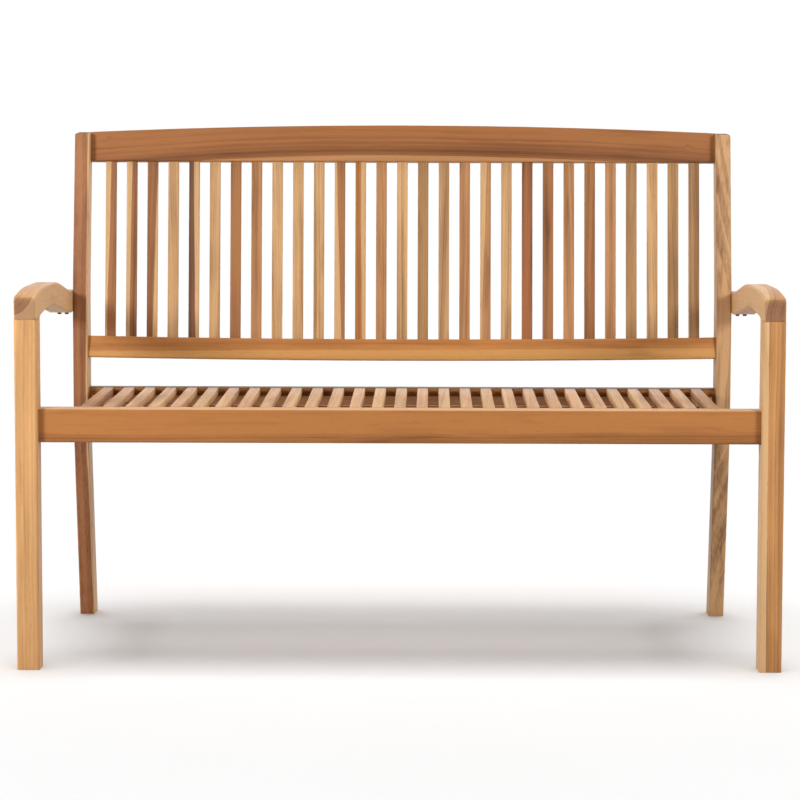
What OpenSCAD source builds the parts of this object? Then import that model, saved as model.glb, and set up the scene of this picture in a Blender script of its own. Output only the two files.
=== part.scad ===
// Slatted two-seat garden bench in solid hardwood.
// +Z is up, +X runs along the bench, the front faces -Y, and the origin is on the ground
// below the middle of the bench. All sizes are in millimetres.
//
// Each side frame is a front leg, an arm and a back post in one upright plane, which turns
// inwards by the toe angle. Inside a side frame, u runs from the front of the leg to the back,
// and a runs inwards from the outer face of the leg.

/* [Overall] */
// Width over the two front legs
bench_w = 1285; // [1240:5:1330]
// Angle that each side frame turns inwards towards the back
toe = 2; // [1:0.25:3]
// Height of the ends of the top rail and of the back posts
back_h = 878; // [860:2:900]

/* [Front legs and arms] */
// Thickness of a front leg and of an arm, across the bench
leg_w = 38; // [34:1:42]
// Depth of a front leg, front to back
leg_d = 46; // [42:1:50]
// Height of the joint between the front leg and the arm
leg_h = 592; // [580:1:600]
// Height of the flat front part of the arm above the ground
arm_top = 638.5; // [634:0.5:644]
// How far the arm falls in its S curve towards the back
arm_fall = 40; // [34:1:44]
// Depth of the arm timber, measured upright
arm_t = 37; // [34:1:40]
// Length of the arm, front to back
arm_l = 486; // [480:1:488]

/* [Back posts] */
// Thickness of a back post, across the bench
post_w = 26.5; // [24:0.5:30]
// Depth of a back post at the seat
post_d = 48; // [46:1:52]
// Depth of a back post at its top end
post_top_d = 40; // [38:1:44]
// Depth of a back post at its foot
post_foot_d = 44; // [40:1:48]
// Distance from the front of the leg to the upright part of the post
post_u = 441.5; // [438:0.5:446]
// Distance from the front of the leg to the front of the post's foot
post_foot_u = 511; // [500:1:520]
// Height where the post starts to rake backwards to its foot
rake_z = 345; // [330:5:360]
// Height where the post starts to lean backwards to its top
lean_z = 592; // [580:2:604]
// Angle that the upper post leans backwards
post_lean = 10.2; // [9.5:0.1:11]

/* [Seat] */
// Height of the front rail's top, which is the front of the seat
seat_h = 442; // [430:1:450]
// How much lower the seat is at the rear rail
seat_fall = 19; // [10:1:22]
// Set-back of the front rail behind the front of the legs
rail_setback = 12; // [8:1:13]
// Thickness of the front rail
front_rail_t = 28; // [24:1:30]
// Height of the front rail
front_rail_h = 57.5; // [54:0.5:62]
// Distance from the front of the leg to the face of the rear seat rail
rear_rail_u = 458; // [454:1:460]
// Thickness of the rear seat rail
rear_rail_t = 26; // [22:1:27]
// Height of the rear seat rail
rear_rail_h = 57.5; // [54:0.5:62]
// Thickness of a seat slat
seat_slat_t = 14; // [12:0.5:16]
// Width of the ledger strips that carry the slat ends, front to back
ledger_w = 20; // [16:1:20]
// Height of the ledger strips
ledger_h = 24; // [20:1:26]
// Half of the ledger strips' length
ledger_half = 556; // [548:1:558]
// Thickness of the two bearers under the outermost slats
bearer_t = 20; // [18:1:24]
// Depth of a bearer below the slats
bearer_h = 41; // [38:1:42]
// Thickness of the middle seat rail, front to back
mid_rail_t = 24; // [20:1:28]
// Height of the middle seat rail
mid_rail_h = 36; // [30:1:38]

/* [Back] */
// Angle that the slatted back leans backwards
back_lean = 9; // [8.5:0.1:9.5]
// Thickness of the two back rails
back_rail_t = 24; // [22:1:25]
// Height of the middle of the lower back rail's ends
low_rail_z = 497; // [490:1:502]
// Distance from the front of the leg to the middle of the lower back rail
low_rail_u = 458; // [456:1:460]
// Height of the lower back rail
low_rail_h = 38; // [34:1:42]
// Sag of the lower back rail at its middle
low_rail_sag = 5; // [0:0.5:8]
// Distance along the back from the middle of the lower rail to the top rail's underside
slat_run = 333; // [325:1:337]
// Rise of the top rail's upper edge at its middle
crown = 13; // [6:1:16]
// Thickness of a back slat
back_slat_t = 12; // [10:0.5:14]

/* [Slats] */
// Number of slats in the seat, and again in the back
slats = 29; // [27, 29]
// Spacing of the seat slats
seat_pitch = 37.7; // [37:0.1:37.8]
// Spacing of the back slats
back_pitch = 37.4; // [37:0.1:37.8]
// Width of a slat
slat_w = 19; // [17:0.5:21]

/* [Joints] */
// Thickness of the tenons on the rails
tenon_t = 11; // [9:1:12]
// Length of the front rail's tenons
front_tenon_l = 22; // [18:1:26]
// Length of the tenons that enter the back posts
post_tenon_l = 18; // [14:1:20]
// Shoulder left above and below a rail's tenon
tenon_shoulder = 7; // [5:1:9]
// Length that each end of a back slat is let into its rail
slat_tenon_l = 12; // [8:1:14]
// Empty space left at the bottom of each mortise
mortise_gap = 1; // [0.5:0.5:2]
// Height of the tenon on top of the front leg
leg_tenon_h = 26; // [20:1:30]
// Diameter of the wooden pegs through the tenons
peg_d = 8; // [6:0.5:9]

/* [Fasteners] */
// Diameter of the arm bolts
bolt_d = 6; // [5:0.5:7]
// Diameter of the arm bolts' heads
bolt_head_d = 13; // [11:1:15]
// Thickness of the arm bolts' heads
bolt_head_t = 4; // [3:0.5:5]
// Diameter of the wood screws
screw_d = 4; // [3.5:0.5:5]
// Diameter of the wood screws' heads
screw_head_d = 8; // [7:0.5:9]
// Diameter of the rubber bumpers under the arms
bumper_d = 7; // [6:0.5:9]
// How far the rubber bumpers stand below the arms
bumper_h = 3.5; // [2:0.5:5]

/* [Hidden] */
$fn = 32;

golden = "#d9a364";
tan_wood = "#b97f45";
red_wood = "#a0643c";
pale_wood = "#e1b48c";
steel = "#b8babd";
rubber = "#262626";

half_slats = (slats - 1) / 2;
post_a = leg_w;
post_in = leg_w + post_w;
foot_rear_u = post_foot_u + post_foot_d;
front_y = leg_w * sin(toe) - foot_rear_u * cos(toe) / 2;
seat_slope = seat_fall / (rear_rail_u - rail_setback - front_rail_t);
rail_back = rail_setback + front_rail_t;
far = 2000;
slack = 0.3;

// Places children() given in side-frame coordinates, x = -a, y = u, on the right-hand side
module right_side() {
    translate([bench_w / 2, front_y, 0]) rotate([0, 0, toe]) children();
}

// Places children() on one side of the bench: 1 for the right, -1 for the left
module on_side(side) {
    if (side > 0) right_side() children();
    else mirror([1, 0, 0]) right_side() children();
}

module on_both_sides() {
    on_side(1) children();
    on_side(-1) children();
}

// Tilted frame of the slatted back: x along, y through and z up the back, from the lower rail
module in_back() {
    translate([0, front_y + low_rail_u, low_rail_z]) rotate([-back_lean, 0, 0]) children();
}

// Extrudes an outline drawn in u and z across the bench, from x0 to x0 + width
module across(x0, width) {
    translate([x0, 0, 0]) rotate([90, 0, 90]) linear_extrude(width) children();
}

// Removes from children() what is further out than the distance a inside the side frames
module inside_of(a) {
    difference() {
        children();
        on_both_sides() translate([-a, -far / 4, -far / 4]) cube([far, far, far]);
    }
}

// A box centred on x
module bar(half_l, y0, y1, z0, z1) {
    translate([-half_l, y0, z0]) cube([2 * half_l, y1 - y0, z1 - z0]);
}

function unit(v) = v / norm(v);
function turned(v, angle) =
    [v.x * cos(angle) - v.y * sin(angle), v.x * sin(angle) + v.y * cos(angle)];

// Points of an arc of radius r that rounds the corner at c between a and b
function bend(a, c, b, r, steps = 10) =
    let (to_a = unit(a - c), to_b = unit(b - c),
         half = acos(to_a * to_b) / 2,
         centre = c + unit(to_a + to_b) * r / sin(half),
         first = c + to_a * r / tan(half) - centre,
         last = c + to_b * r / tan(half) - centre,
         way = sign(cross(first, last)))
    [for (i = [0:steps]) centre + turned(first, way * (180 - 2 * half) * i / steps)];

// Closed outline through corners [u, z, radius], each rounded by its own radius
function outline(p) =
    let (n = len(p), flat = [for (q = p) [q[0], q[1]]])
    [for (i = [0:n - 1])
        let (before = flat[(i + n - 1) % n], after = flat[(i + 1) % n])
        each (p[i][2] == 0 ? [flat[i]] : bend(before, flat[i], after, p[i][2]))];

// Height of the seat's upper surface at the distance u from the front of the legs
function seat_z(u) = seat_h - seat_slope * (u - rail_back);

// Front rail: outer tenon ends, in x
front_tenon_end = bench_w / 2 - leg_w + front_tenon_l;
front_mid_u = rail_setback + front_rail_t / 2;
// Rear rails: outer tenon ends, in x, from where the post's inner face is at that rail
function post_inner_x(u) = bench_w / 2 - post_in * cos(toe) - u * sin(toe);
rear_tenon_end = post_inner_x(rear_rail_u) + post_tenon_l;
rear_mid_u = rear_rail_u + rear_rail_t / 2;
rear_rail_top = seat_z(rear_rail_u);
low_tenon_end = post_inner_x(low_rail_u) + post_tenon_l;
top_tenon_u = low_rail_u + slat_run * sin(back_lean);
top_tenon_end = post_inner_x(top_tenon_u) + post_tenon_l;
top_rail_end_h = (back_h - low_rail_z) / cos(back_lean) - slat_run;

/* ---- Tenons and the mortises that take them ---- */

// Leg top tenon, in side-frame coordinates
module leg_tenon(extra = 0) {
    inset = 9;
    translate([-leg_w + inset, inset, leg_h - 1])
        cube([leg_w - 2 * inset, leg_d - 2 * inset, leg_tenon_h + 1 + extra]);
}

module front_rail_tenons(extra = 0) {
    mid_y = front_y + front_mid_u;
    bar(front_tenon_end + extra, mid_y - tenon_t / 2, mid_y + tenon_t / 2,
        seat_h - front_rail_h + tenon_shoulder, seat_h - tenon_shoulder);
}

module rear_rail_tenons(extra = 0) {
    mid_y = front_y + rear_mid_u;
    bar(rear_tenon_end + extra, mid_y - tenon_t / 2, mid_y + tenon_t / 2,
        rear_rail_top - rear_rail_h + tenon_shoulder, rear_rail_top - tenon_shoulder);
}

module low_rail_tenons(extra = 0) {
    in_back() bar(low_tenon_end + extra, -tenon_t / 2, tenon_t / 2,
        -low_rail_h / 2 + tenon_shoulder, low_rail_h / 2 - tenon_shoulder);
}

module top_rail_tenons(extra = 0) {
    in_back() bar(top_tenon_end + extra, -tenon_t / 2, tenon_t / 2,
        slat_run + tenon_shoulder, slat_run + top_rail_end_h - 2 * tenon_shoulder);
}

/* ---- Side frames ---- */

module post_shape() {
    top_u = post_u + (back_h - lean_z) * tan(post_lean);
    polygon(outline([
        [post_foot_u, 0, 0], [post_u, rake_z, 600], [post_u, lean_z, 500], [top_u, back_h, 0],
        [top_u + post_top_d, back_h, 0], [post_u + post_d, lean_z - 4, 500],
        [post_u + post_d, rake_z + 5, 600], [foot_rear_u, 0, 0]]));
}

module post_blank() {
    across(-post_in, post_w) post_shape();
}

module arm_shape() {
    rear_top = arm_top - arm_fall;
    nose_top = arm_top - 7;
    crest_u = 80;
    top_bend_u = 262;
    top_bend_z = arm_top - 6;
    top_end_u = 436;
    low_bend_u = 215;
    low_bend_z = arm_top - arm_t - 4;
    low_end_u = 422;
    polygon(outline([
        [0, leg_h, 0], [0, nose_top, 12], [crest_u, arm_top, 700], [top_bend_u, top_bend_z, 500],
        [top_end_u, rear_top, 250], [arm_l, rear_top, 14], [arm_l, rear_top - arm_t, 10],
        [low_end_u, rear_top - arm_t, 60], [low_bend_u, low_bend_z, 600],
        [leg_d + 4, leg_h + 4, 5], [leg_d, leg_h, 0]]));
}

// Arm bolts, as [u, z] on the side frame
bolt_places = [
    [post_u + 11, arm_top - arm_fall - 11],
    [post_u + 30, arm_top - arm_fall - arm_t + 11]];
nut_l = 14;
nut_d = 9;

module at_arm_bolts() {
    for (p = bolt_places)
        translate([0, p[0], p[1]]) rotate([0, -90, 0]) children();
}

// Bolt with a flat head and a six-sided socket, its head a little below the arm's face
module arm_bolt() {
    sink = 1;
    key_d = 4.6;
    key_depth = 2.2;
    translate([0, 0, sink]) difference() {
        union() {
            cylinder(h = bolt_head_t, d = bolt_head_d);
            cylinder(h = leg_w + post_w - 6 - sink, d = bolt_d);
        }
        translate([0, 0, -1]) cylinder(h = key_depth + 1, d = key_d, $fn = 6);
    }
}

// Threaded sleeve in the post that the arm bolt screws into
module arm_nut() {
    translate([0, 0, leg_w + 2]) difference() {
        cylinder(h = nut_l, d = nut_d);
        translate([0, 0, -1]) cylinder(h = nut_l + 2, d = bolt_d);
    }
}

module bolt_holes() {
    at_arm_bolts() {
        translate([0, 0, -1]) cylinder(h = bolt_head_t + 2, d = bolt_head_d + 2 * slack);
        cylinder(h = leg_w + post_w - 5, d = bolt_d + 2 * slack);
    }
}

bumper_places = [[15.5, post_u - 7.5], [28.5, post_u - 7.5]];
bumper_stem_d = 4;
bumper_stem_l = 9;

module at_bumpers() {
    for (p = bumper_places)
        translate([-p[0], p[1], arm_top - arm_fall - arm_t]) children();
}

/* ---- Pegs through the tenons, in side-frame coordinates ---- */

leg_peg_l = 36;
leg_peg = [leg_w - front_tenon_l / 2, leg_d - leg_peg_l, seat_h - front_rail_h / 2];
post_peg_a = post_in - post_tenon_l / 2;
peg_reach = 60;

module leg_pegs() {
    translate([-leg_peg[0], leg_peg[1], leg_peg[2]])
        rotate([-90, 0, 0]) cylinder(h = leg_peg_l, d = peg_d);
}

// A peg at height z that starts inside the post, at the distance u, and ends flush with its back
module post_peg(u, z) {
    intersection() {
        translate([-post_peg_a, u, z]) rotate([-90, 0, 0]) cylinder(h = peg_reach, d = peg_d);
        post_blank();
    }
}

module post_pegs() {
    cover = 8;
    top_peg_z = back_h - 30;
    post_peg(post_u + cover, rear_rail_top - rear_rail_h / 2);
    post_peg(post_u + cover, low_rail_z);
    post_peg(post_u + (top_peg_z - lean_z) * tan(post_lean) + cover, top_peg_z);
}

/* ---- Screws ---- */

seat_screw_l = 31;
screw_sink = 1;
head_t = 3;
ledger_screw_l = 34;
ledger_screw_steps = [-12.16, -7.16, -2.16, 2.16, 7.16, 12.16];
front_screw_u = rail_back + ledger_w / 2;
rear_screw_u = rear_rail_u - ledger_w / 2;

function ledger_bottom(u) = seat_z(u) - seat_slat_t - ledger_h;

// The room that a screw needs, with a gap all round it
module screw_room(length, gap) {
    cylinder(h = head_t + gap, d = screw_head_d + 2 * gap);
    cylinder(h = length + gap, d = screw_d + 2 * gap);
}

// Wood screw with a square recess in its head
module screw(length) {
    key_d = 3.6;
    key_depth = 1.8;
    difference() {
        screw_room(length, 0);
        translate([0, 0, -1]) cylinder(h = key_depth + 1, d = key_d, $fn = 4);
    }
}

// Places children() under each slat of the list, at the underside of both ledgers
module at_seat_screws(list) {
    for (i = list, u = [front_screw_u, rear_screw_u])
        translate([i * seat_pitch, front_y + u, ledger_bottom(u) + screw_sink]) children();
}

// Places children() on the inner faces of both ledgers, pointing into the seat rails
module at_ledger_screws() {
    drop = seat_slat_t + ledger_h / 2;
    for (k = ledger_screw_steps) {
        translate([k * seat_pitch, front_y + rail_back + ledger_w, seat_z(rail_back) - drop])
            rotate([90, 0, 0]) children();
        translate([k * seat_pitch, front_y + rear_rail_u - ledger_w, seat_z(rear_rail_u) - drop])
            rotate([-90, 0, 0]) children();
    }
}

module seat_screw_holes(list) {
    at_seat_screws(list) translate([0, 0, -slack]) screw_room(seat_screw_l, slack);
}

module ledger_screw_holes() {
    at_ledger_screws() translate([0, 0, -slack]) screw_room(ledger_screw_l, slack);
}

/* ---- Sub-parts ---- */

module front_leg(side) {
    color(golden) difference() {
        on_side(side) union() {
            translate([-leg_w, 0, 0]) cube([leg_w, leg_d, leg_h]);
            leg_tenon();
        }
        front_rail_tenons(mortise_gap);
        on_side(side) leg_pegs();
    }
}

module back_post(side) {
    color(red_wood) difference() {
        on_side(side) post_blank();
        rear_rail_tenons(mortise_gap);
        low_rail_tenons(mortise_gap);
        top_rail_tenons(mortise_gap);
        on_side(side) {
            post_pegs();
            bolt_holes();
            at_arm_bolts() translate([0, 0, leg_w + 2]) cylinder(h = nut_l, d = nut_d);
        }
    }
}

module arm(side) {
    color(tan_wood) on_side(side) difference() {
        across(-leg_w, leg_w) arm_shape();
        leg_tenon(mortise_gap);
        bolt_holes();
        at_bumpers() translate([0, 0, -1]) cylinder(h = bumper_stem_l + 1, d = bumper_stem_d);
    }
}

module front_rail() {
    color(tan_wood) difference() {
        union() {
            inside_of(leg_w) bar(front_tenon_end, front_y + rail_setback, front_y + rail_back,
                seat_h - front_rail_h, seat_h);
            front_rail_tenons();
        }
        on_both_sides() leg_pegs();
        bearer_tenons(mortise_gap);
        ledger_screw_holes();
    }
}

module rear_seat_rail() {
    color(tan_wood) difference() {
        union() {
            inside_of(post_in)
                bar(rear_tenon_end, front_y + rear_rail_u, front_y + rear_rail_u + rear_rail_t,
                    rear_rail_top - rear_rail_h, rear_rail_top);
            rear_rail_tenons();
        }
        on_both_sides() post_pegs();
        bearer_tenons(mortise_gap);
        ledger_screw_holes();
    }
}

// Ledger strip between the distances u0 and u1, its top along the underside of the slats
module ledger(u0, u1) {
    color(tan_wood) difference() {
        translate([0, front_y, 0]) across(-ledger_half, 2 * ledger_half) polygon([
            [u0, seat_z(u0) - seat_slat_t], [u1, seat_z(u1) - seat_slat_t],
            [u1, ledger_bottom(u1)], [u0, ledger_bottom(u0)]]);
        seat_screw_holes([-half_slats:half_slats]);
        ledger_screw_holes();
    }
}

module front_ledger() {
    ledger(rail_back, rail_back + ledger_w);
}

module rear_ledger() {
    ledger(rear_rail_u - ledger_w, rear_rail_u);
}

bearer_tenon_l = 10;
bearer_tenon_t = 10;
bearer_mid_x = half_slats * seat_pitch;

function bearer_bottom(u) = seat_z(u) - seat_slat_t - bearer_h;

// Stub tenons of both bearers, into the front rail and the rear seat rail
module bearer_tenons(extra = 0) {
    inset = 2;
    for (x = [-bearer_mid_x, bearer_mid_x])
        for (end = [[rail_back - bearer_tenon_l - extra, rail_back + 1, rail_back],
                    [rear_rail_u - 1, rear_rail_u + bearer_tenon_l + extra, rear_rail_u]])
            translate([x - bearer_tenon_t / 2, front_y + end[0], bearer_bottom(end[2]) + inset])
                cube([bearer_tenon_t, end[1] - end[0], bearer_h - ledger_h - 2 * inset]);
}

module mid_rail_tenons(extra = 0) {
    mid_u = (rail_back + rear_rail_u) / 2;
    mid_y = front_y + mid_u;
    low = seat_z(mid_u) - seat_slat_t - mid_rail_h;
    bar(bearer_mid_x - bearer_t / 2 + bearer_tenon_l + extra,
        mid_y - bearer_tenon_t / 2, mid_y + bearer_tenon_t / 2,
        low + tenon_shoulder, low + mid_rail_h - tenon_shoulder);
}

// Bearer under an outermost slat, notched at both ends to pass below the ledgers
module seat_bearer(side) {
    u0 = rail_back;
    u1 = rail_back + ledger_w;
    u2 = rear_rail_u - ledger_w;
    u3 = rear_rail_u;
    x = side * bearer_mid_x - bearer_t / 2;
    color(tan_wood) difference() {
        union() {
            translate([0, front_y, 0]) across(x, bearer_t) polygon([
                [u0, bearer_bottom(u0)], [u0, ledger_bottom(u0)],
                [u1, ledger_bottom(u1)], [u1, seat_z(u1) - seat_slat_t],
                [u2, seat_z(u2) - seat_slat_t], [u2, ledger_bottom(u2)],
                [u3, ledger_bottom(u3)], [u3, bearer_bottom(u3)]]);
            intersection() {
                bearer_tenons();
                translate([x, -far / 2, 0]) cube([bearer_t, far, far]);
            }
        }
        mid_rail_tenons(mortise_gap);
        seat_screw_holes([-half_slats, half_slats]);
    }
}

module seat_mid_rail() {
    mid_u = (rail_back + rear_rail_u) / 2;
    u0 = mid_u - mid_rail_t / 2;
    u1 = mid_u + mid_rail_t / 2;
    low = seat_z(mid_u) - seat_slat_t - mid_rail_h;
    half_l = bearer_mid_x - bearer_t / 2;
    color(tan_wood) union() {
        translate([0, front_y, 0]) across(-half_l, 2 * half_l) polygon([
            [u0, low], [u0, seat_z(u0) - seat_slat_t],
            [u1, seat_z(u1) - seat_slat_t], [u1, low]]);
        mid_rail_tenons();
    }
}

// One seat slat, the i-th from the middle
module one_seat_slat(i) {
    difference() {
        translate([0, front_y, 0]) across(i * seat_pitch - slat_w / 2, slat_w) polygon([
            [rail_back, seat_h], [rear_rail_u, rear_rail_top],
            [rear_rail_u, rear_rail_top - seat_slat_t], [rail_back, seat_h - seat_slat_t]]);
        seat_screw_holes([i]);
    }
}

// Seat slats in mirrored pairs, and the middle one alone
module seat_slat(i) {
    color(pale_wood)
        for (side = (i == 0 ? [1] : [-1, 1])) one_seat_slat(side * i);
}

// Fall of the lower back rail and rise of the top rail's upper edge at x, in the plane of the back
rail_half = post_inner_x(low_rail_u);
function low_sag(x) = low_rail_sag * (1 - (x / rail_half) * (x / rail_half));
function top_crown(x) = crown * (1 - (x / rail_half) * (x / rail_half));
rail_steps = [for (k = [-12:12]) k / 12 * low_tenon_end];

module one_back_slat(i, extra = 0) {
    low = low_rail_h / 2 - low_sag(i * back_pitch) - slat_tenon_l - extra;
    translate([i * back_pitch - slat_w / 2, -back_slat_t / 2, low])
        cube([slat_w, back_slat_t, slat_run + slat_tenon_l + extra - low]);
}

// Back slats in mirrored pairs, and the middle one alone
module back_slat(i) {
    color(red_wood) in_back()
        for (side = (i == 0 ? [1] : [-1, 1])) one_back_slat(side * i);
}

module slat_mortises() {
    in_back()
        for (i = [-half_slats:half_slats]) one_back_slat(i, mortise_gap);
}

// A board in the plane of the back, through the outline's x and z
module back_board() {
    in_back() rotate([90, 0, 0]) linear_extrude(back_rail_t, center = true) children();
}

module lower_back_rail() {
    h = low_rail_h / 2;
    low_edge = [for (x = rail_steps) [x, -h - low_sag(x)]];
    top_edge = [for (x = rail_steps) [-x, h - low_sag(x)]];
    color(tan_wood) difference() {
        union() {
            inside_of(post_in) back_board() polygon(concat(low_edge, top_edge));
            inside_of(post_in - post_tenon_l) low_rail_tenons();
        }
        slat_mortises();
        on_both_sides() post_pegs();
    }
}

module top_rail() {
    top_edge = [for (x = rail_steps) [-x, slat_run + top_rail_end_h + top_crown(x)]];
    color(red_wood) difference() {
        union() {
            inside_of(post_in) back_board()
                polygon(concat([[-low_tenon_end, slat_run], [low_tenon_end, slat_run]], top_edge));
            top_rail_tenons();
        }
        slat_mortises();
        on_both_sides() post_pegs();
    }
}

module arm_bolts() {
    color(steel) on_both_sides() at_arm_bolts() arm_bolt();
}

module arm_bolt_nuts() {
    color(steel) on_both_sides() at_arm_bolts() arm_nut();
}

module arm_bumpers() {
    color(rubber) on_both_sides() at_bumpers() {
        translate([0, 0, -bumper_h]) cylinder(h = bumper_h, d = bumper_d);
        cylinder(h = bumper_stem_l - 1, d = bumper_stem_d);
    }
}

module seat_screws() {
    color(steel) at_seat_screws([-half_slats:half_slats]) screw(seat_screw_l);
}

module ledger_screws() {
    color(steel) at_ledger_screws() screw(ledger_screw_l);
}

module joint_pegs() {
    color(pale_wood) on_both_sides() {
        leg_pegs();
        post_pegs();
    }
}

front_leg(-1);  // front_leg_left
front_leg(1);  // front_leg_right
back_post(-1);  // back_post_left
back_post(1);  // back_post_right
arm(-1);  // arm_left
arm(1);  // arm_right
front_rail();
rear_seat_rail();
front_ledger();
rear_ledger();
seat_bearer(-1);  // seat_bearer_left
seat_bearer(1);  // seat_bearer_right
seat_mid_rail();
lower_back_rail();
top_rail();
for (i = [0:half_slats]) seat_slat(i);
for (i = [0:half_slats]) back_slat(i);
arm_bolts();
arm_bolt_nuts();
arm_bumpers();
seat_screws();
ledger_screws();
joint_pegs();
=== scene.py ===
"""Slatted garden bench: timber with real grain, eased edges, fasteners, floor, light and camera."""
import math
import random
from collections import namedtuple

import bpy
from mathutils import Euler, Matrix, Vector


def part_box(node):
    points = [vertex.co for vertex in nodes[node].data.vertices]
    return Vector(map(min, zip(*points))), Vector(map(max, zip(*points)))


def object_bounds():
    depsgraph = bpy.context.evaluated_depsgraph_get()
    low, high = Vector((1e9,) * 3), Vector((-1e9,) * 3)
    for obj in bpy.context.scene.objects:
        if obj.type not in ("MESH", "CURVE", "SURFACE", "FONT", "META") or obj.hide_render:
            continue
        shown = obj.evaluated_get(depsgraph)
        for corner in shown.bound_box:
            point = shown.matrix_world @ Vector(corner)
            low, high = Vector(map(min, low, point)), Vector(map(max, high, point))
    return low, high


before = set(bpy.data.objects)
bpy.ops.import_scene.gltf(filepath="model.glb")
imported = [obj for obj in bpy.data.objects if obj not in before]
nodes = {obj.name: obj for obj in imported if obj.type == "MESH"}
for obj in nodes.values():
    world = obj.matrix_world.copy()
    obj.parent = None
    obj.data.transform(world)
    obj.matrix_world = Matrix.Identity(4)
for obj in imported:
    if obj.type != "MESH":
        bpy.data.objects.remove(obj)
cad_low, cad_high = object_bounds()

# ---------------------------------------------------------------- node graph helper


class Graph:
    """Makes and links nodes of one tree. A value is a number, a tuple, or another node's output."""

    def __init__(self, tree):
        self.tree = tree

    def add(self, kind, **settings):
        node = self.tree.nodes.new(kind)
        for name, value in settings.items():
            setattr(node, name, value)
        return node

    def put(self, socket, value):
        if isinstance(value, bpy.types.NodeSocket):
            self.tree.links.new(value, socket)
        else:
            socket.default_value = value

    def fill(self, node, *values):
        for socket, value in zip(node.inputs, values):
            if value is not None:
                self.put(socket, value)
        return node.outputs[0] if node.outputs else None

    def math(self, operation, *values, clamp=False):
        return self.fill(self.add("ShaderNodeMath", operation=operation, use_clamp=clamp), *values)

    def vector(self, operation, *values):
        node = self.add("ShaderNodeVectorMath", operation=operation)
        self.fill(node, *values)
        return node.outputs["Value" if operation in ("LENGTH", "DOT_PRODUCT") else "Vector"]

    def span(self, value, low, high, to_low=0.0, to_high=1.0):
        """Smooth step of value from low to high."""
        node = self.add("ShaderNodeMapRange", interpolation_type="SMOOTHSTEP")
        return self.fill(node, value, low, high, to_low, to_high)

    def mix(self, share, a, b, kind="RGBA", blend="MIX"):
        node = self.add("ShaderNodeMix", data_type=kind, blend_type=blend)
        result = {"FLOAT": 0, "VECTOR": 1, "RGBA": 2}[kind]
        first = 2 * result + 2
        self.put(node.inputs[0], share)
        self.put(node.inputs[first], a)
        self.put(node.inputs[first + 1], b)
        return node.outputs[result]

    def noise(self, point, stretch, seed, detail=2.0, rough=0.5):
        """Noise node whose features are stretch per metre along each axis."""
        node = self.add("ShaderNodeTexNoise", noise_dimensions="4D")
        self.put(node.inputs["Vector"], self.vector("MULTIPLY", point, stretch))
        self.put(node.inputs["W"], seed)
        node.inputs["Scale"].default_value = 1.0
        node.inputs["Detail"].default_value = detail
        node.inputs["Roughness"].default_value = rough
        return node


def linear(hex_colour):
    """Colour of "#rrggbb" as linear light with alpha."""
    parts = [int(hex_colour[i:i + 2], 16) / 255 for i in (1, 3, 5)]
    return tuple(c / 12.92 if c <= 0.04045 else ((c + 0.055) / 1.055) ** 2.4 for c in parts) + (1.0,)


# ---------------------------------------------------------------- timber


# Colours in linear light: the first two are multiplied with the wood, the others are laid over it
STAIN = (0.60, 0.50, 0.44, 1.0)
END_GRAIN = (0.46, 0.41, 0.48, 1.0)
HEART_LINE = (0.10, 0.045, 0.018, 1.0)
KNOT_WOOD = (0.23, 0.082, 0.03, 1.0)
PORE = (0.12, 0.055, 0.025, 1.0)

# Distance from a knot's middle, in knot sizes, where the wood no longer shows the knot
NO_KNOT = 9.0


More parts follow.
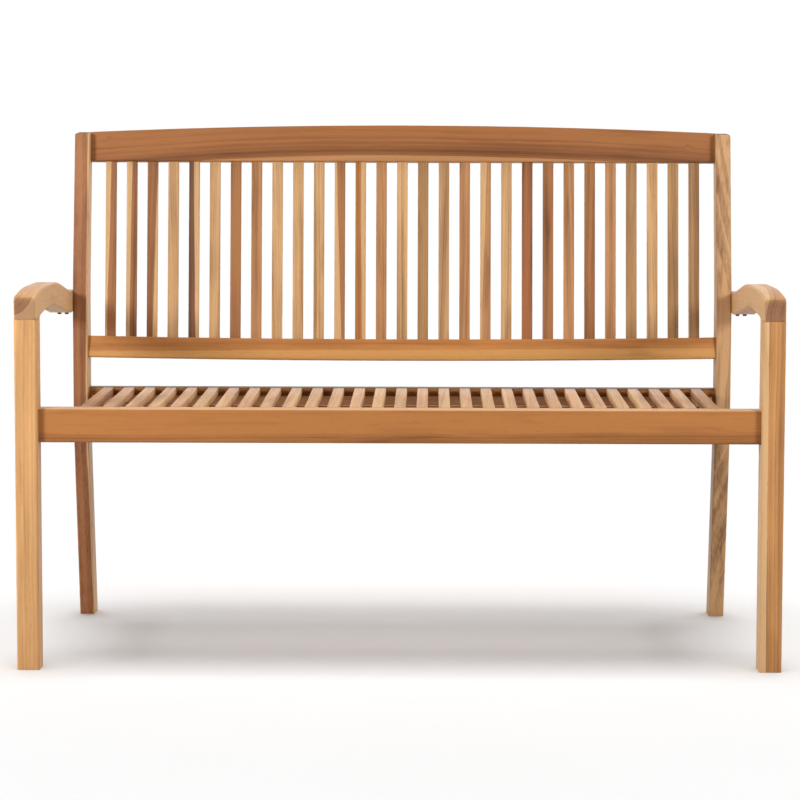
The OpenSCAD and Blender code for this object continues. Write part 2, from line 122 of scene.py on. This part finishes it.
def timber_group():
    """Solid timber round a log's axis, which is the Z axis of Position, in metres."""
    tree = bpy.data.node_groups.new("timber", "ShaderNodeTree")
    face = tree.interface
    for name, kind, value in [
            ("Position", "Vector", None), ("Grain", "Vector", None), ("Seed", "Float", 0.0),
            ("Early", "Color", None), ("Late", "Color", None), ("Sapwood", "Color", None),
            ("Heart Radius", "Float", 1.0), ("Ring Width", "Float", 0.004), ("Streaks", "Float", 0.5),
            ("Line", "Float", 0.0), ("Soft", "Float", 0.001), ("Fade", "Float", 0.0),
            ("Knot", "Float", NO_KNOT)]:
        socket = face.new_socket(name, in_out="INPUT", socket_type="NodeSocket" + kind)
        if value is not None:
            socket.default_value = value
    for name, kind in [("Color", "Color"), ("Roughness", "Float"), ("Height", "Float")]:
        face.new_socket(name, in_out="OUTPUT", socket_type="NodeSocket" + kind)
    g = Graph(tree)
    got = g.add("NodeGroupInput").outputs
    seed = got["Seed"]

    # the trunk wanders, so the rings wave along the board and bend round a knot
    wander = g.noise(got["Position"], (8.0, 8.0, 1.7), seed, detail=1.0).outputs["Color"]
    wander = g.vector("MULTIPLY", g.vector("SUBTRACT", wander, (0.5, 0.5, 0.5)), (0.012, 0.012, 0.0))
    ripple = g.noise(got["Position"], (40.0, 40.0, 9.0), seed, detail=1.0).outputs["Color"]
    ripple = g.vector("MULTIPLY", g.vector("SUBTRACT", ripple, (0.5, 0.5, 0.5)), (0.0025, 0.0025, 0.0))
    point = g.vector("ADD", g.vector("ADD", got["Position"], wander), ripple)
    radius = g.vector("LENGTH", g.vector("MULTIPLY", point, (1.0, 1.0, 0.0)))
    knot_push = g.math("EXPONENT", g.math("MULTIPLY", g.math("MULTIPLY", got["Knot"], got["Knot"]), -0.35))
    radius = g.math("ADD", radius, g.math("MULTIPLY", knot_push, 0.005))

    # growth rings: pale early wood that darkens to a thin late band, no two alike
    uneven = g.add("ShaderNodeTexNoise", noise_dimensions="1D")
    g.put(uneven.inputs["W"], g.math("MULTIPLY_ADD", radius, 70.0, seed))
    uneven.inputs["Scale"].default_value = 1.0
    age = g.math("DIVIDE", radius, got["Ring Width"])
    age = g.math("ADD", age, g.math("MULTIPLY", uneven.outputs[0], 3.0))
    part = g.math("FRACT", age)
    late = g.math("MULTIPLY", g.math("POWER", part, 2.4), g.span(part, 0.93, 1.0, 1.0, 0.0))
    ring_tone = g.add("ShaderNodeTexWhiteNoise", noise_dimensions="1D")
    g.put(ring_tone.inputs["W"], g.math("ADD", g.math("FLOOR", age), seed))
    late = g.math("MULTIPLY", late, g.math("MULTIPLY_ADD", ring_tone.outputs["Value"], 0.8, 0.2))

    # colour that runs along the board in bands and streaks, and zones of rings that grew darker
    band = g.noise(point, (30.0, 30.0, 3.6), seed, detail=2.0).outputs[0]
    streak = g.noise(point, (330.0, 330.0, 4.0), seed, detail=4.0, rough=0.6).outputs[0]
    fibre = g.noise(point, (1000.0, 1000.0, 20.0), seed, detail=2.0).outputs[0]
    zone = g.add("ShaderNodeTexNoise", noise_dimensions="1D")
    g.put(zone.inputs["W"], g.math("MULTIPLY_ADD", radius, 110.0, g.math("MULTIPLY", seed, 3.7)))
    zone.inputs["Scale"].default_value = 1.0
    zone = g.span(zone.outputs[0], 0.42, 0.60, 0.32, 0.68)
    depth = g.math("SUBTRACT", radius, got["Heart Radius"])
    tone = g.math("MULTIPLY_ADD", late, 0.5, 0.24)
    tone = g.math("MULTIPLY_ADD", g.span(depth, -0.036, -0.014, -0.5, 0.5), got["Fade"], tone)
    for part_noise, weight in [(band, 3.0), (streak, 2.2), (zone, 1.5)]:
        swing = g.math("MULTIPLY", g.math("SUBTRACT", part_noise, 0.5), weight)
        tone = g.math("MULTIPLY_ADD", swing, got["Streaks"], tone)
    tone = g.math("MULTIPLY_ADD", g.math("SUBTRACT", fibre, 0.5), 0.5, tone, clamp=True)
    heart = g.mix(tone, got["Early"], got["Late"])
    sap = g.mix(g.math("MULTIPLY", tone, 0.3), got["Sapwood"], got["Late"])
    pale = g.span(g.math("DIVIDE", depth, got["Soft"]), -0.6, 0.9)
    colour = g.mix(pale, heart, sap)

    # dark stains here and there in streaky boards
    stain = g.span(g.noise(point, (55.0, 55.0, 6.0), g.math("ADD", seed, 7.0)).outputs[0], 0.56, 0.70)
    stain = g.math("MULTIPLY", stain, g.math("MULTIPLY", got["Streaks"], 0.9), clamp=True)
    colour = g.mix(stain, colour, STAIN, blend="MULTIPLY")

    # dark line where heartwood meets sapwood, dark knot, pores and end grain
    rim = g.span(g.math("ABSOLUTE", depth), 0.0, 0.0011, 1.0, 0.0)
    rim = g.math("MULTIPLY", rim, g.math("MULTIPLY", got["Line"], g.span(band, 0.35, 0.6)))
    colour = g.mix(rim, colour, HEART_LINE)
    knot_wood = g.math("MULTIPLY", g.span(got["Knot"], 0.35, 1.25, 1.0, 0.0), 0.75)
    colour = g.mix(knot_wood, colour, KNOT_WOOD)
    pore = g.noise(point, (1500.0, 1500.0, 70.0), seed, detail=1.0).outputs[0]
    pore = g.math("MULTIPLY", g.span(pore, 0.60, 0.70), g.span(part, 0.0, 0.55, 1.0, 0.35))
    colour = g.mix(g.math("MULTIPLY", pore, 0.42), colour, PORE)
    across = g.add("ShaderNodeTexCoord").outputs["Normal"]
    end = g.math("ABSOLUTE", g.vector("DOT_PRODUCT", across, got["Grain"]))
    end = g.span(end, 0.55, 0.95)
    soak = g.math("MULTIPLY", end, g.math("MULTIPLY_ADD", pale, -0.2, 0.95))
    colour = g.mix(soak, colour, END_GRAIN, blend="MULTIPLY")

    # rounded edges are rubbed paler and smoother; the paler colour is also a painted highlight where the
    # edges catch the light
    edge = g.add("ShaderNodeNewGeometry").outputs["Pointiness"]
    rubbed_edge_and_highlight = g.math("MULTIPLY", g.span(edge, 0.52, 0.60), g.span(streak, 0.35, 0.65, 0.25, 1.0))
    colour = g.mix(g.math("MULTIPLY", rubbed_edge_and_highlight, 0.22), colour, got["Sapwood"])

    rough = g.math("MULTIPLY_ADD", g.math("SUBTRACT", fibre, 0.5), 0.22, 0.52)
    rough = g.math("MULTIPLY_ADD", pore, 0.18, rough)
    rough = g.math("MULTIPLY_ADD", end, 0.16, rough)
    rough = g.math("MULTIPLY_ADD", rubbed_edge_and_highlight, -0.08, rough, clamp=True)
    height = g.math("MULTIPLY_ADD", pore, -1.0, g.math("MULTIPLY", fibre, 0.5))
    height = g.math("MULTIPLY_ADD", late, 0.45, height)
    g.fill(g.add("NodeGroupOutput"), colour, rough, height)
    return tree


TIMBER = timber_group()
SAPWOOD = "#be976a"
TONES = {
    "honey": "#b48858",
    "fair": "#a57a4d",
    "gold": "#a47544",
    "ash": "#ad855f",
    "pale": "#ab865c",
    "sand": "#a17c55",
    "tan": "#9a6e47",
    "olive": "#916d46",
    "amber": "#9e6835",
    "orange": "#966230",
    "copper": "#8f5b2c",
    "brown": "#865934",
    "red": "#82502e",
    "russet": "#845433",
    "umber": "#81512a",
    "dark": "#623f2a",
}
# Early and late wood, as shares of the board's tone
EARLY = (1.25, 1.25, 1.25, 1.0)
LATE = (0.55, 0.47, 0.41, 1.0)

# One board: its tone, its grain direction, a point on the log's axis, and how it looks. Top is the
# height and colour painted over a top face: a painted highlight where pale, painted shade where dark.
Board = namedtuple("Board", "tone grain pith seed heart ring streaks line soft fade bow sapwood knots top",
                   defaults=(1.0, 0.004, 0.5, 0.0, 0.001, 0.0, 0.0, SAPWOOD, (), None))
KNOT_SIZE = 0.004
# depth and share of the painted highlight or painted shade laid over a top face
PAINTED_TOP_DEPTH = 0.002
PAINTED_TOP_SHARE = 0.65


def board_values(g, board, place):
    """Inputs of the timber group for one board."""
    turn = Vector(board.grain).rotation_difference(Vector((0, 0, 1)))
    shift = g.add("ShaderNodeMapping", vector_type="POINT")
    g.put(shift.inputs["Vector"], place)
    shift.inputs["Location"].default_value = -(turn @ Vector(board.pith))
    shift.inputs["Rotation"].default_value = turn.to_euler()
    place_in_log = shift.outputs[0]
    if board.bow:
        along = g.vector("MULTIPLY", place_in_log, (0.0, 0.0, 1.0))
        square = g.vector("DOT_PRODUCT", along, along)
        bend = g.vector("SCALE", tuple(turn @ Vector((0, 0, board.bow))))
        g.put(bend.node.inputs["Scale"], square)
        place_in_log = g.vector("ADD", place_in_log, bend)
    middle = linear(TONES[board.tone])
    early, late = ([c * k for c, k in zip(middle, part)] for part in (EARLY, LATE))
    knot = NO_KNOT
    for point in board.knots:
        flat = g.vector("MULTIPLY", g.vector("SUBTRACT", place, tuple(point)), (1.0, 0.0, 1.0))
        knot = g.math("MINIMUM", knot, g.math("DIVIDE", g.vector("LENGTH", flat), KNOT_SIZE))
    return {"Position": place_in_log, "Grain": tuple(Vector(board.grain).normalized()),
            "Seed": board.seed, "Early": tuple(early), "Late": tuple(late),
            "Sapwood": linear(board.sapwood), "Heart Radius": board.heart, "Ring Width": board.ring,
            "Streaks": board.streaks, "Line": board.line, "Soft": board.soft,
            "Fade": board.fade, "Knot": knot}


KINDS = {"Position": "VECTOR", "Grain": "VECTOR", "Early": "RGBA", "Late": "RGBA", "Sapwood": "RGBA"}


def paint_top_light(g, colour, place, height, painted_colour):
    """Colour with painted light laid over the top face at the height: a painted highlight where the colour
    is pale, painted shade where it is dark.
    """
    apart = g.add("ShaderNodeSeparateXYZ")
    g.put(apart.inputs[0], place)
    painted_mask = g.span(apart.outputs[2], height - PAINTED_TOP_DEPTH, height - 0.4 * PAINTED_TOP_DEPTH, 0.0, PAINTED_TOP_SHARE)
    return g.mix(painted_mask, colour, linear(painted_colour))


def timber(name, board, mate=None):
    """Material of a board, or of a mirrored pair: board where X is below 0, and mate above it."""
    material = bpy.data.materials.new(name)
    material.use_nodes = True
    g = Graph(material.node_tree)
    shader = g.tree.nodes["Principled BSDF"]
    place = g.add("ShaderNodeTexCoord").outputs["Object"]
    wood = g.add("ShaderNodeGroup", node_tree=TIMBER)
    values = board_values(g, board, place)
    if mate is not None:
        apart = g.add("ShaderNodeSeparateXYZ")
        g.put(apart.inputs[0], place)
        right = g.math("GREATER_THAN", apart.outputs[0], 0.0)
        others = board_values(g, mate, place)
        for key, value in values.items():
            if value is others[key] or value == others[key]:
                continue
            values[key] = g.mix(right, value, others[key], kind=KINDS.get(key, "FLOAT"))
    for key, value in values.items():
        g.put(wood.inputs[key], value)
    bump = g.add("ShaderNodeBump")
    bump.inputs["Strength"].default_value = 0.35
    bump.inputs["Distance"].default_value = 0.0004
    g.put(bump.inputs["Height"], wood.outputs["Height"])
    colour = wood.outputs["Color"]
    # painted light on a top face: a painted highlight or painted shade
    if board.top is not None:
        colour = paint_top_light(g, colour, place, *board.top)
    g.put(shader.inputs["Base Color"], colour)
    g.put(shader.inputs["Roughness"], wood.outputs["Roughness"])
    g.put(shader.inputs["Normal"], bump.outputs[0])
    shader.inputs["Specular IOR Level"].default_value = 0.28
    return material


def finish_with(name, material):
    """Gives a CAD node its material in every slot."""
    for slot in nodes[name].material_slots:
        slot.material = material


# ---------------------------------------------------------------- boards of the frame

draw = random.Random(11)


def near(node, dx, dy, dz):
    """A point off the middle of a CAD node, in metres."""
    low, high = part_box(node)
    return (low + high) / 2 + Vector((dx, dy, dz))


def near_front(node, dx, dz):
    """A point off the middle of the front end of a CAD node, in metres."""
    low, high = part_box(node)
    return Vector(((low.x + high.x) / 2 + dx, low.y, high.z + dz))


def inside_face(node, toe, radius):
    """Log axis far outside a left-hand post, so that its rings run along the post's inner face."""
    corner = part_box(node)[1]
    return corner + Vector((-math.cos(toe), math.sin(toe), 0)) * radius


LENGTHWISE = (1.0, 0.0, 0.0)
THROUGH = (0.0, 1.0, 0.0)

FRAME_BOARDS = {
    "front_leg_left": Board("honey", (0.006, 0.01, 1), near("front_leg_left", -0.16, 0.05, 0), 3.1,
                            ring=0.0045, streaks=0.25),
    "front_leg_right": Board("gold", (-0.004, 0.01, 1), near("front_leg_right", 0.12, -0.02, 0), 8.4,
                             heart=0.1265, ring=0.005, streaks=0.35, line=0.9),
    "back_post_left": Board("russet", (0.0, 0.0, 1), inside_face("back_post_left", math.radians(2), 4.0),
                            5.2, heart=3.9985, ring=0.004, streaks=0.6),
    "back_post_right": Board("sand", (0.008, 0.02, 1), near("back_post_right", 0.06, 0.06, 0), 6.7,
                             ring=0.004, streaks=0.8),
    "arm_left": Board("fair", (0.03, 1, -0.08), near_front("arm_left", -0.035, 0.0015), 2.3,
                      heart=0.040, ring=0.0042, streaks=0.3),
    "arm_right": Board("fair", (-0.03, 1, -0.06), near_front("arm_right", 0.0845, -0.0385), 9.6,
                       heart=0.0915, ring=0.0045, streaks=0.3),
    "front_rail": Board("copper", (1, 0.004, 0.006), near("front_rail", 0, 0.04, 0.30), 4.4,
                        heart=0.345, ring=0.010, streaks=0.35, fade=0.7,
                        # the pale top is a painted highlight: light from above caught by the eased top edge
                        top=(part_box("front_rail")[1].z, "#c3a07a")),
    "rear_seat_rail": Board("orange", (1, 0, 0.004), near("rear_seat_rail", 0, 0.05, 0.08), 7.3,
                            # the dark top is painted shade: the shadow of the lower back rail above it
                            ring=0.004, streaks=0.6, top=(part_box("rear_seat_rail")[1].z, "#3a2413")),
    "front_ledger": Board("tan", LENGTHWISE, near("front_ledger", 0, -0.05, 0.03), 1.9),
    "rear_ledger": Board("tan", LENGTHWISE, near("rear_ledger", 0, 0.04, 0.05), 2.8),
    "seat_bearer_left": Board("tan", THROUGH, near("seat_bearer_left", -0.05, 0, 0.03), 3.7),
    "seat_bearer_right": Board("olive", THROUGH, near("seat_bearer_right", 0.06, 0, 0.02), 4.9),
    "seat_mid_rail": Board("orange", LENGTHWISE, near("seat_mid_rail", 0, 0.06, 0.03), 5.8),
    "lower_back_rail": Board("amber", (1, 0.0, 0.003), near("lower_back_rail", 0, 0.03, 0.40), 6.1,
                             heart=0.402, ring=0.006, streaks=0.4, soft=0.003, sapwood="#b9884c"),
    "top_rail": Board("umber", (1, 0.005, 0.0), near("top_rail", 0, 0.02, 0.38), 7.9,
                      heart=0.401, ring=0.009, streaks=0.35, soft=0.0012, fade=0.55, bow=0.073,
                      sapwood="#a7774a",
                      knots=(near("top_rail", -0.527, 0, 0.012), near("top_rail", 0.512, 0, 0.001))),
}
for name, board in FRAME_BOARDS.items():
    finish_with(name, timber("timber_" + name, board))

# ---------------------------------------------------------------- boards of the slats

# Tone of each slat from left to right, by its letter, and where its sapwood shows:
# < on the left edge, > on the right edge, . nowhere
LETTERS = {"a": "ash", "p": "pale", "s": "sand", "t": "tan", "l": "olive", "o": "orange", "b": "brown",
           "r": "red", "d": "dark"}
# the first back slat's brown tone is partly its own colour and partly painted shade of the arm's shadow on
# its lower end
BACK_TONES = "bbbsdpbtpppbotplsttprbtbtlpll"
BACK_SAPWOOD = "<<>.>......<>.....<.........."
# the outermost seat slats have the darker tan tone as painted shade: the arms' shadow falls on them
SEAT_TONES = "taaaapaaapaaapaaaapaaaaapaaat"
SEAT_SAPWOOD = "..<>..<..>..<...>..<..>..<..."


def slat_board(tone, sapwood, middle, grain, half_width, streaks):
    """One slat, sawn at random from a log, with its sapwood on one edge."""
    side = draw.choice((-1, 1)) if sapwood == "." else {"<": 1, ">": -1}[sapwood]
    away = draw.uniform(0.05, 0.11)
    off = draw.uniform(-0.02, 0.02)
    lean = draw.uniform(-0.03, 0.03)
    share = draw.uniform(0.1, 0.6)
    seed = draw.uniform(0, 50)
    grain = Vector(grain) + Vector((lean, 0, 0))
    across = Vector((0, grain.z, -grain.y))
    pith = middle + Vector((side * away, 0, 0)) + across * off
    heart = 1.0 if sapwood == "." else math.hypot(away + half_width * share, off)
    return Board(LETTERS[tone], grain, pith, seed, heart, draw.uniform(0.0032, 0.0055),
                 draw.uniform(*streaks))


def slat_boards(prefix, tones, sapwood, grain, streaks):
    """Gives every slat of one set its board. Node 0 is the middle slat, and the others are pairs."""
    half = len(sapwood) // 2
    low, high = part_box(prefix + "_0")
    half_width = (high.x - low.x) / 2
    middle = (low + high) / 2
    pitch = (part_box(f"{prefix}_{half}")[1].x - high.x) / half
    made = [slat_board(tones[i], sapwood[i], middle + Vector((pitch * (i - half), 0, 0)), grain, half_width,
                       streaks)
            for i in range(2 * half + 1)]
    finish_with(prefix + "_0", timber(f"timber_{prefix}_0", made[half]))
    for i in range(1, half + 1):
        name = f"{prefix}_{i}"
        finish_with(name, timber("timber_" + name, made[half - i], made[half + i]))


back_lean = math.radians(9)
slat_boards("back_slat", BACK_TONES, BACK_SAPWOOD, (0.0, math.sin(back_lean), math.cos(back_lean)),
            (0.45, 0.8))
slat_boards("seat_slat", SEAT_TONES, SEAT_SAPWOOD, (0.0, 1.0, -0.045), (0.2, 0.4))

# ---------------------------------------------------------------- metal, rubber and pegs


def metal(name, bright, dull):
    """Metal with a fine turned finish and dull patches."""
    material = bpy.data.materials.new(name)
    material.use_nodes = True
    g = Graph(material.node_tree)
    shader = g.tree.nodes["Principled BSDF"]
    place = g.add("ShaderNodeTexCoord").outputs["Object"]
    patch = g.noise(place, (260.0, 260.0, 260.0), 1.0, detail=3.0).outputs[0]
    scratch = g.noise(place, (2600.0, 2600.0, 500.0), 2.0, detail=2.0).outputs[0]
    shader.inputs["Metallic"].default_value = 1.0
    g.put(shader.inputs["Base Color"], g.mix(patch, linear(bright), linear(dull)))
    g.put(shader.inputs["Roughness"], g.span(g.math("ADD", patch, scratch), 0.6, 1.4, 0.24, 0.5))
    bump = g.add("ShaderNodeBump")
    bump.inputs["Strength"].default_value = 0.2
    bump.inputs["Distance"].default_value = 0.0001
    g.put(bump.inputs["Height"], scratch)
    g.put(shader.inputs["Normal"], bump.outputs[0])
    return material


def rubber(name):
    """Dull black rubber with a little dust."""
    material = bpy.data.materials.new(name)
    material.use_nodes = True
    g = Graph(material.node_tree)
    shader = g.tree.nodes["Principled BSDF"]
    place = g.add("ShaderNodeTexCoord").outputs["Object"]
    dust = g.noise(place, (700.0, 700.0, 700.0), 4.0, detail=3.0).outputs[0]
    g.put(shader.inputs["Base Color"], g.mix(g.span(dust, 0.4, 0.8), linear("#1d1d1d"), linear("#3a3835")))
    g.put(shader.inputs["Roughness"], g.span(dust, 0.2, 0.8, 0.62, 0.85))
    bump = g.add("ShaderNodeBump")
    bump.inputs["Strength"].default_value = 0.25
    bump.inputs["Distance"].default_value = 0.0002
    g.put(bump.inputs["Height"], dust)
    g.put(shader.inputs["Normal"], bump.outputs[0])
    return material


zinc = metal("zinc", "#c9cacb", "#9c9a94")
bronzed = metal("bronzed_steel", "#7d6a55", "#54483d")
for name in ("arm_bolts", "arm_bolt_nuts"):
    finish_with(name, zinc)
for name in ("seat_screws", "ledger_screws"):
    finish_with(name, bronzed)
finish_with("arm_bumpers", rubber("bumper_rubber"))
finish_with("joint_pegs", timber("timber_joint_pegs", Board("pale", THROUGH, Vector((0, 0, 0.3)), 12.0)))

# ---------------------------------------------------------------- eased edges


def eased_group(name, axis, in_plane):
    """Weights each convex edge for rounding: 1 for edges along the axis, or for those square to it when
    in_plane is set, and the share Ends for the rest. Edges that are shorter than Shortest or lower than
    Crisp Below get no more than that share, and the tiniest ones get nothing."""
    tree = bpy.data.node_groups.new(name, "GeometryNodeTree")
    face = tree.interface
    face.new_socket("Geometry", in_out="INPUT", socket_type="NodeSocketGeometry")
    for label in ("Ends", "Shortest", "Crisp Below"):
        face.new_socket(label, in_out="INPUT", socket_type="NodeSocketFloat")
    face.new_socket("Geometry", in_out="OUTPUT", socket_type="NodeSocketGeometry")
    g = Graph(tree)
    got = g.add("NodeGroupInput").outputs
    ends = g.add("GeometryNodeInputMeshEdgeVertices")
    way = g.vector("SUBTRACT", ends.outputs["Position 2"], ends.outputs["Position 1"])
    length = g.vector("LENGTH", way)
    along = g.math("ABSOLUTE", g.vector("DOT_PRODUCT", g.vector("NORMALIZE", way), axis))
    full = g.math("LESS_THAN", along, 0.4) if in_plane else g.math("GREATER_THAN", along, 0.8)
    heights = g.add("ShaderNodeSeparateXYZ")
    g.put(heights.inputs[0], g.vector("ADD", ends.outputs["Position 1"], ends.outputs["Position 2"]))
    middle = g.math("MULTIPLY", heights.outputs[2], 0.5)
    full = g.math("MULTIPLY", full, g.math("GREATER_THAN", middle, got["Crisp Below"]))
    full = g.math("MULTIPLY", full, g.math("GREATER_THAN", length, got["Shortest"]))
    fold = g.add("GeometryNodeInputMeshEdgeAngle").outputs["Signed Angle"]
    convex = g.math("GREATER_THAN", fold, math.radians(50))
    tiny = 0.003
    part = g.math("MULTIPLY", got["Ends"], g.math("GREATER_THAN", length, tiny))
    weight = g.math("MULTIPLY", g.math("MAXIMUM", full, part), convex)
    shape = got["Geometry"]
    for old in ("custom_normal", "sharp_edge", "sharp_face"):
        forget = g.add("GeometryNodeRemoveAttribute")
        g.put(forget.inputs["Geometry"], shape)
        forget.inputs["Name"].default_value = old
        shape = forget.outputs[0]
    store = g.add("GeometryNodeStoreNamedAttribute", data_type="FLOAT", domain="EDGE")
    g.put(store.inputs["Geometry"], shape)
    store.inputs["Name"].default_value = "bevel_weight_edge"
    g.put(store.inputs["Value"], weight)
    g.fill(g.add("NodeGroupOutput"), store.outputs[0])
    return tree


def shading_group():
    """Smooth shading that stays sharp across edges over 40 degrees."""
    tree = bpy.data.node_groups.new("smooth_shading", "GeometryNodeTree")
    tree.interface.new_socket("Geometry", in_out="INPUT", socket_type="NodeSocketGeometry")
    tree.interface.new_socket("Geometry", in_out="OUTPUT", socket_type="NodeSocketGeometry")
    g = Graph(tree)
    shape = g.add("NodeGroupInput").outputs[0]
    faces = g.add("GeometryNodeSetShadeSmooth", domain="FACE")
    g.put(faces.inputs["Geometry"], shape)
    fold = g.add("GeometryNodeInputMeshEdgeAngle").outputs["Unsigned Angle"]
    edges = g.add("GeometryNodeSetShadeSmooth", domain="EDGE")
    g.put(edges.inputs["Geometry"], faces.outputs[0])
    g.put(edges.inputs["Shade Smooth"], g.math("LESS_THAN", fold, math.radians(40)))
    g.fill(g.add("NodeGroupOutput"), edges.outputs[0])
    return tree


EASED = {
    "x": eased_group("eased_along_x", (1.0, 0.0, 0.0), False),
    "y": eased_group("eased_along_y", (0.0, 1.0, 0.0), False),
    "z": eased_group("eased_along_z", (0.0, 0.0, 1.0), False),
    "side": eased_group("eased_side", (1.0, 0.0, 0.0), True),
}
SMOOTH = shading_group()


def ease(name, way, radius, ends=0.15, shortest=0.0014, crisp_below=-1.0, flat=0.0004):
    """Rounds a node's long edges to the radius, and its end edges to a share of it. Triangles whose
    normals differ by less than the flat angle are first joined to one face."""
    piece = nodes[name]
    weld = piece.modifiers.new("weld", "WELD")
    weld.merge_threshold = 1e-6
    plain = piece.modifiers.new("plain_faces", "DECIMATE")
    plain.decimate_type = "DISSOLVE"
    plain.angle_limit = flat
    weights = piece.modifiers.new("edge_weights", "NODES")
    weights.node_group = EASED[way]
    for item in EASED[way].interface.items_tree:
        if item.in_out == "INPUT" and item.socket_type == "NodeSocketFloat":
            values = {"Ends": ends, "Shortest": shortest, "Crisp Below": crisp_below}
            weights[item.identifier] = float(values[item.name])
    bevel = piece.modifiers.new("eased_edges", "BEVEL")
    bevel.limit_method = "WEIGHT"
    bevel.width = radius
    bevel.segments = 3
    bevel.use_clamp_overlap = False
    shade = piece.modifiers.new("shading", "NODES")
    shade.node_group = SMOOTH
    level = piece.modifiers.new("flat_faces", "WEIGHTED_NORMAL")
    level.keep_sharp = True


# Radii of the eased edges, in metres
LEG_EDGE = 0.0035
POST_EDGE = 0.003
ARM_EDGE = 0.0045
RAIL_EDGE = 0.003
SEAT_SLAT_EDGE = 0.0018
BACK_SLAT_EDGE = 0.0016
HIDDEN_EDGE = 0.0012

pairs = len(SEAT_SAPWOOD) // 2
leg_tenon = 0.026  # how far the leg goes up into the arm
joint_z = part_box("front_leg_left")[1].z - leg_tenon
for side in ("left", "right"):
    ease("front_leg_" + side, "z", LEG_EDGE)
    ease("back_post_" + side, "side", POST_EDGE, crisp_below=0.001)
    ease("arm_" + side, "side", ARM_EDGE, ends=0.2, crisp_below=joint_z + 0.0005, flat=0.004)
    ease("seat_bearer_" + side, "y", HIDDEN_EDGE, shortest=0.003)
for name in ("front_rail", "rear_seat_rail", "lower_back_rail", "top_rail"):
    ease(name, "x", RAIL_EDGE, ends=0.1, shortest=0.025)
for name in ("front_ledger", "rear_ledger", "seat_mid_rail"):
    ease(name, "x", HIDDEN_EDGE, shortest=0.025)
for i in range(pairs + 1):
    ease(f"seat_slat_{i}", "y", SEAT_SLAT_EDGE, ends=0.1, shortest=0.02)
    ease(f"back_slat_{i}", "z", BACK_SLAT_EDGE, ends=0.1, shortest=0.02)

# ---------------------------------------------------------------- floor, light and camera

centre = (cad_low + cad_high) / 2
FLOOR_SIZE = 2000.0
SOFTBOX_SIZE = 0.5
SOFTBOX_DISTANCE = 2.6
SUN_DISTANCE = 3.0
AMBIENT = 0.12
BACKDROP_GLOW = 2.0


def floor():
    """Large pale floor at the feet."""
    bpy.ops.mesh.primitive_plane_add(size=FLOOR_SIZE, location=(0, 0, cad_low.z))
    plane = bpy.context.object
    plane.name = "floor"
    material = bpy.data.materials.new("floor")
    material.use_nodes = True
    g = Graph(material.node_tree)
    shader = g.tree.nodes["Principled BSDF"]
    place = g.add("ShaderNodeTexCoord").outputs["Object"]
    cloud = g.noise(place, (3.0, 3.0, 3.0), 0.0).outputs[0]
    g.put(shader.inputs["Base Color"], g.mix(cloud, (0.84, 0.84, 0.84, 1.0), (0.86, 0.86, 0.86, 1.0)))
    shader.inputs["Roughness"].default_value = 0.9
    shader.inputs["Specular IOR Level"].default_value = 0.1
    plane.data.materials.append(material)


def link_floor(lamp, state):
    """Lights the floor alone with a lamp (INCLUDE), or everything but the floor (EXCLUDE)."""
    receivers = bpy.data.collections.new(lamp.name + "_receivers")
    receivers.objects.link(bpy.data.objects["floor"])
    receivers.collection_objects[0].light_linking.link_state = state
    lamp.light_linking.receiver_collection = receivers


def place_lamp(name, data, azimuth, elevation, distance):
    """Lamp aimed at the bench from an angle round it: 0 is in front, positive to the right."""
    a, e = math.radians(azimuth), math.radians(elevation)
    way = Vector((math.sin(a) * math.cos(e), -math.cos(a) * math.cos(e), math.sin(e)))
    lamp = bpy.data.objects.new(name, data)
    lamp.location = centre + way * distance
    lamp.rotation_mode = "QUATERNION"
    lamp.rotation_quaternion = way.to_track_quat("Z", "Y")
    bpy.context.scene.collection.objects.link(lamp)
    return lamp


def softbox(name, azimuth, elevation, power):
    """Square soft light near one end of the bench, which it lights more than the other end."""
    data = bpy.data.lights.new(name, "AREA")
    data.size = SOFTBOX_SIZE
    data.energy = power
    link_floor(place_lamp(name, data, azimuth, elevation, SOFTBOX_DISTANCE), "EXCLUDE")


def wide_light(name, azimuth, elevation, strength, floor_state):
    """Even light from a broad panel far off."""
    data = bpy.data.lights.new(name, "SUN")
    data.angle = math.radians(34)
    data.energy = strength
    link_floor(place_lamp(name, data, azimuth, elevation, SUN_DISTANCE), floor_state)


floor()
softbox("key_left", -50, 20, 52)
softbox("key_right", 48, 20, 40)
wide_light("roof_left", -90, 55, 1.6, "EXCLUDE")
wide_light("roof_right", 90, 55, 1.6, "EXCLUDE")
wide_light("floor_light", 0, 86, 3.0, "INCLUDE")

# the world is dim, with a bright backdrop behind the bench that its tops reflect
world = bpy.data.worlds.new("studio")
bpy.context.scene.world = world
world.use_nodes = True
background = world.node_tree.nodes["Background"]
background.inputs["Color"].default_value = (1.0, 1.0, 1.0, 1.0)
sky = Graph(world.node_tree)
toward = sky.add("ShaderNodeSeparateXYZ")
sky.put(toward.inputs[0], sky.add("ShaderNodeTexCoord").outputs["Generated"])
backdrop = sky.math("MULTIPLY", sky.span(toward.outputs[1], 0.4, 0.9),
                    sky.span(toward.outputs[2], 0.3, 0.65, 1.0, 0.0))
sky.put(background.inputs["Strength"], sky.math("MULTIPLY_ADD", backdrop, BACKDROP_GLOW, AMBIENT))


def camera():
    """Camera in front of the bench at standing height, a little right of its middle."""
    data = bpy.data.cameras.new("camera")
    data.sensor_width = 36
    data.lens = 157.1
    data.shift_y = -0.06
    stand = Vector((0.053, cad_low.y - 5.7685, 1.1895))
    aim = Vector((0.0008, cad_low.y, 0.5402))
    eye = bpy.data.objects.new("camera", data)
    eye.location = stand
    eye.rotation_mode = "QUATERNION"
    roll = Euler((0, 0, math.radians(0.108))).to_quaternion()
    eye.rotation_quaternion = (aim - stand).to_track_quat("-Z", "Y") @ roll
    bpy.context.scene.collection.objects.link(eye)
    bpy.context.scene.camera = eye


camera()
bpy.context.scene.view_settings.view_transform = "Standard"
